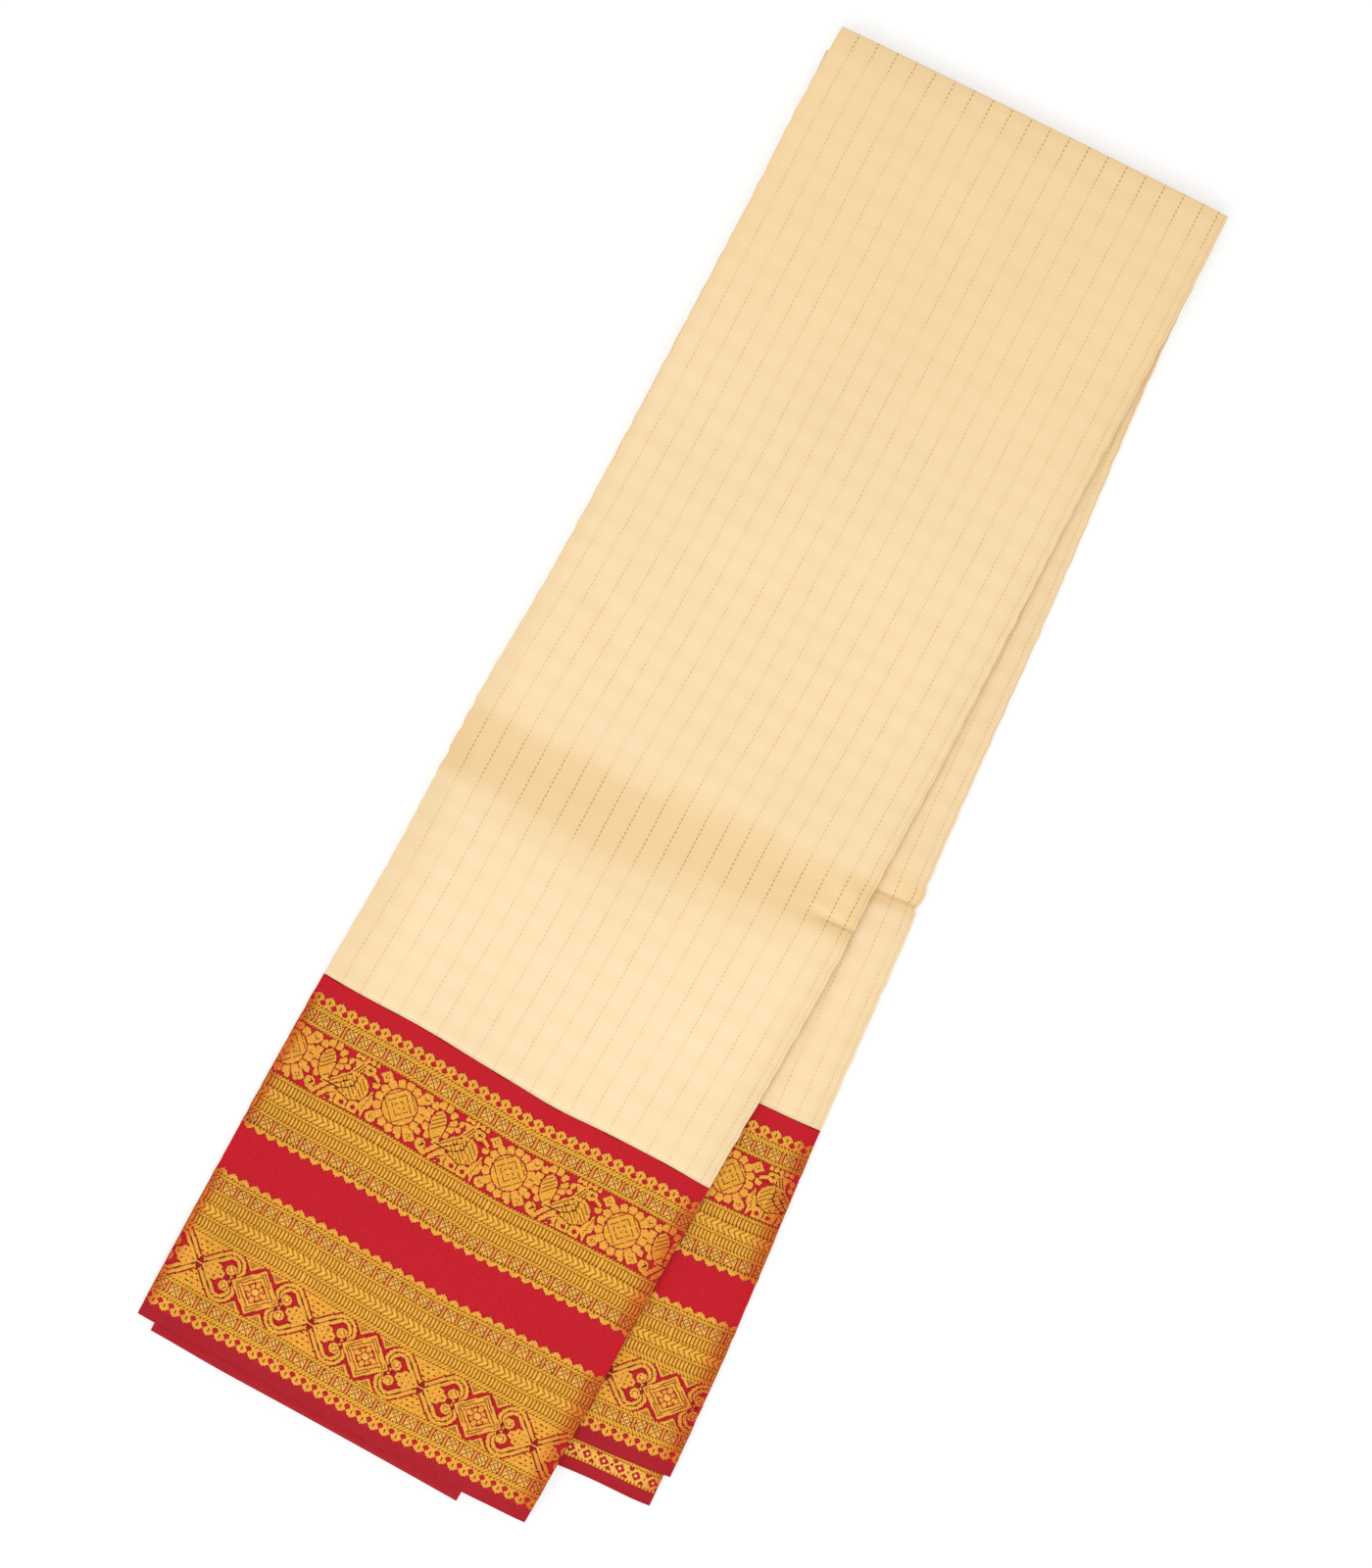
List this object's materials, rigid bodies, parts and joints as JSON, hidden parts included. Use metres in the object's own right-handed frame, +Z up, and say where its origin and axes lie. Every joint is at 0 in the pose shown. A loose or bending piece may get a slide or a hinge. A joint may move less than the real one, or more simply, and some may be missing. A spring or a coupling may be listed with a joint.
{
  "type": "folded silk sari",
  "caption": "Cream silk sari with a broad red and gold woven border, folded into a long flat bundle and fanned about one corner, lying flat.",
  "frame": {"origin": "middle of the underside's bounding box, on the surface that the folded sari lies on", "axes": "+Z up through the leaves; +Y along the front bundle from its hem to its top fold; +X to the right across the front bundle, towards the fanned side bundle"},
  "size_m": [0.2234, 0.6072, 0.0165],
  "materials": {
    "body_silk": "cream silk with fine dotted zari lines and a soft sheen",
    "broad_border": "red silk brocaded with gold zari",
    "narrow_border": "red silk with a narrow gold zari band",
    "inner_leaves": "edges of the folded cream and red silk leaves"
  },
  "bodies": {
    "root": {"front_body": "body_silk", "front_broad_border": "broad_border", "front_narrow_border": "narrow_border", "front_hidden_layers": "inner_leaves", "side_body": "body_silk", "side_broad_border": "broad_border", "side_narrow_border": "narrow_border", "side_hidden_layers": "inner_leaves"}
  },
  "joints": []
}
